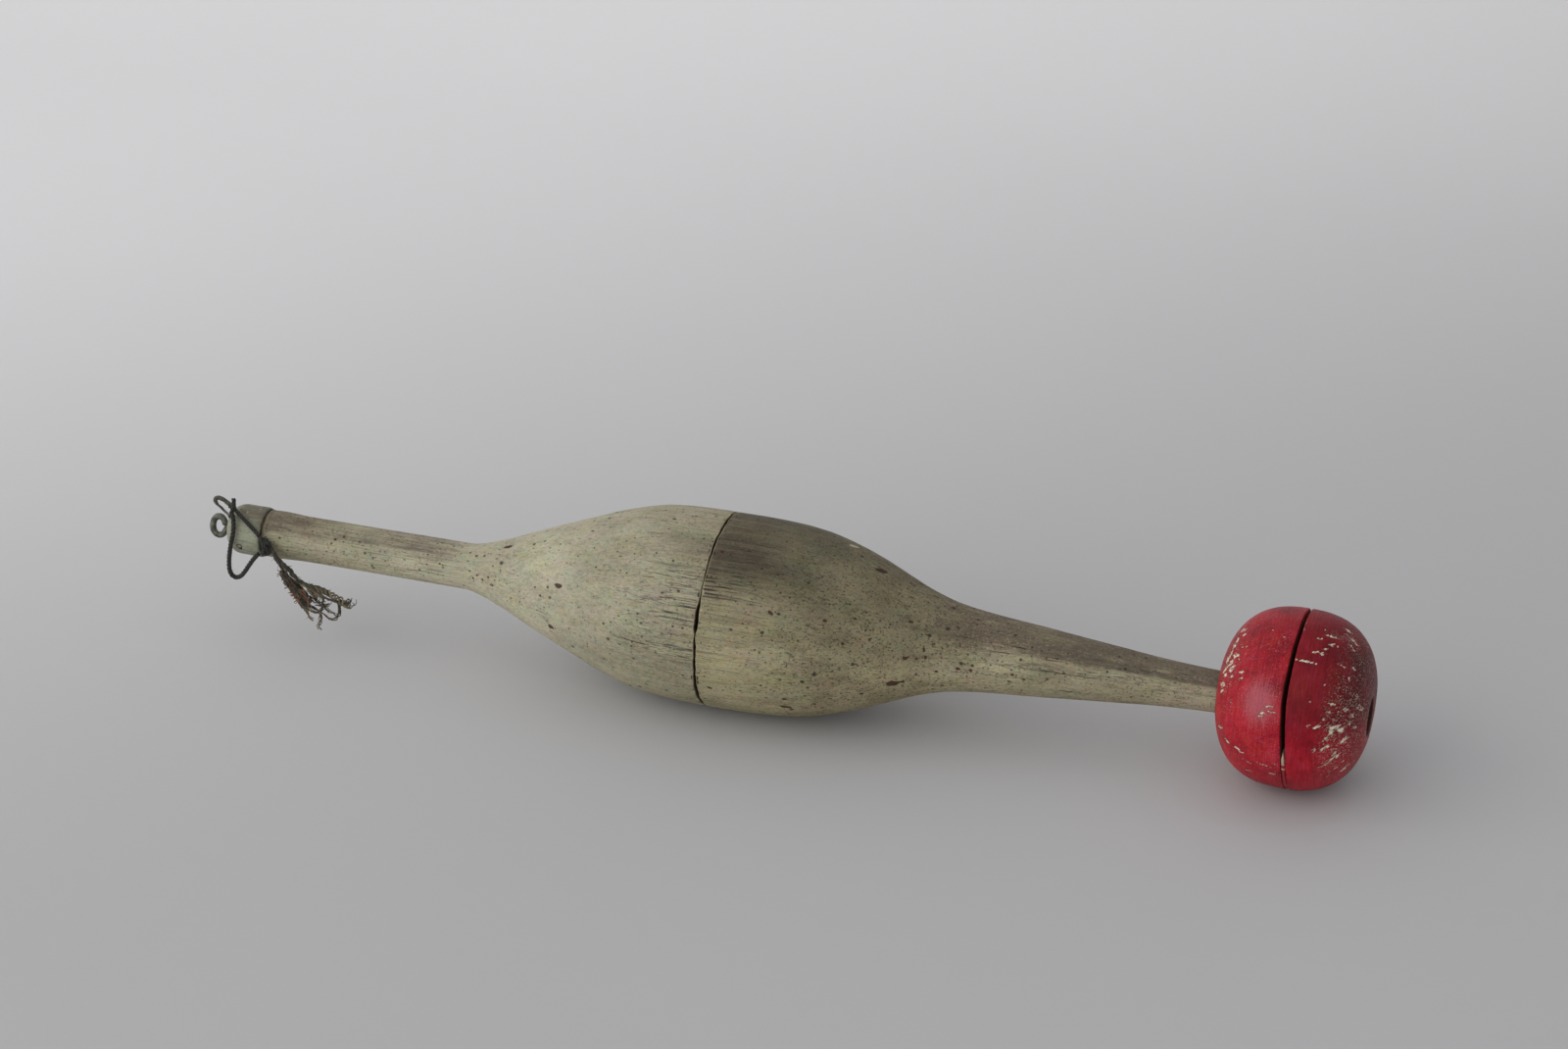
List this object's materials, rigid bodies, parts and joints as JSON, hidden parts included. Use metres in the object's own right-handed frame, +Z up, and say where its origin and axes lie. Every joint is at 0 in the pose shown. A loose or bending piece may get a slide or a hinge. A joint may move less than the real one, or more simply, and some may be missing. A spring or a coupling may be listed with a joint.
{
  "type": "drop spindle",
  "caption": "Turned double-ended wooden drop spindle in worn pale paint, with a red whorl in halves, a capped tip with a wire eye, and a knotted cord ending in a frayed tassel.",
  "frame": {"origin": "bottom centre of the whole object's box, on the surface that it lies on", "axes": "+X from the capped tip towards the whorl, +Z up; the shaft points 1.4 degrees nose-down towards the whorl because it rests on the bulge of its body and on the whorl"},
  "size_m": [0.2726, 0.0442, 0.0445],
  "materials": {
    "weathered_paint": "worn matt off-white paint over turned wood",
    "bare_wood": "bare wood",
    "cap_paint": "worn matt grey-green paint",
    "red_paint": "satin red paint with cream chips",
    "cream_filler": "dry filler",
    "grey_wire": "dull oxidised wire",
    "tarred_cord": "waxed twisted cord",
    "frayed_cord": "frayed dry yarn"
  },
  "bodies": {
    "spindle": {"end_cap": "cap_paint", "upper_shaft": "weathered_paint", "center_dowel": "bare_wood", "lower_shaft": "weathered_paint", "eye_wire": "grey_wire", "tie_wire": "grey_wire", "cap_thread": "tarred_cord", "cord_span": "tarred_cord", "cord_knot": "tarred_cord"},
    "whorl": {"whorl_inner_half": "red_paint", "whorl_outer_half": "red_paint", "whorl_seam_filler": "cream_filler"},
    "cord_bight": {"cord_loop": "tarred_cord"},
    "tassel": {"tail_strand_front": "tarred_cord", "tail_strand_rear": "frayed_cord", "fray_yarn_1": "frayed_cord", "fray_yarn_2": "frayed_cord", "fray_yarn_3": "frayed_cord", "fray_yarn_4": "frayed_cord", "fray_yarn_5": "frayed_cord", "fray_yarn_6": "frayed_cord", "fray_yarn_7": "frayed_cord", "fray_yarn_8": "frayed_cord"}
  },
  "joints": [
    {"name": "whorl_slide", "type": "slide", "parent": "spindle", "child": "whorl", "axis": [0.9997, 0, -0.0247], "range_m": [0, 0.034]},
    {"name": "loop_swing", "type": "hinge", "parent": "spindle", "child": "cord_bight", "pos_m": [-0.12936, -0.0039, 0.0312], "axis": [-0.6374, 0.2672, 0.7227], "range_deg": [0, 75]},
    {"name": "tassel_swing", "type": "hinge", "parent": "spindle", "child": "tassel", "pos_m": [-0.11812, -0.0072, 0.02432], "axis": [-0.9997, 0, 0.0247], "range_deg": [-8, 70]}
  ]
}
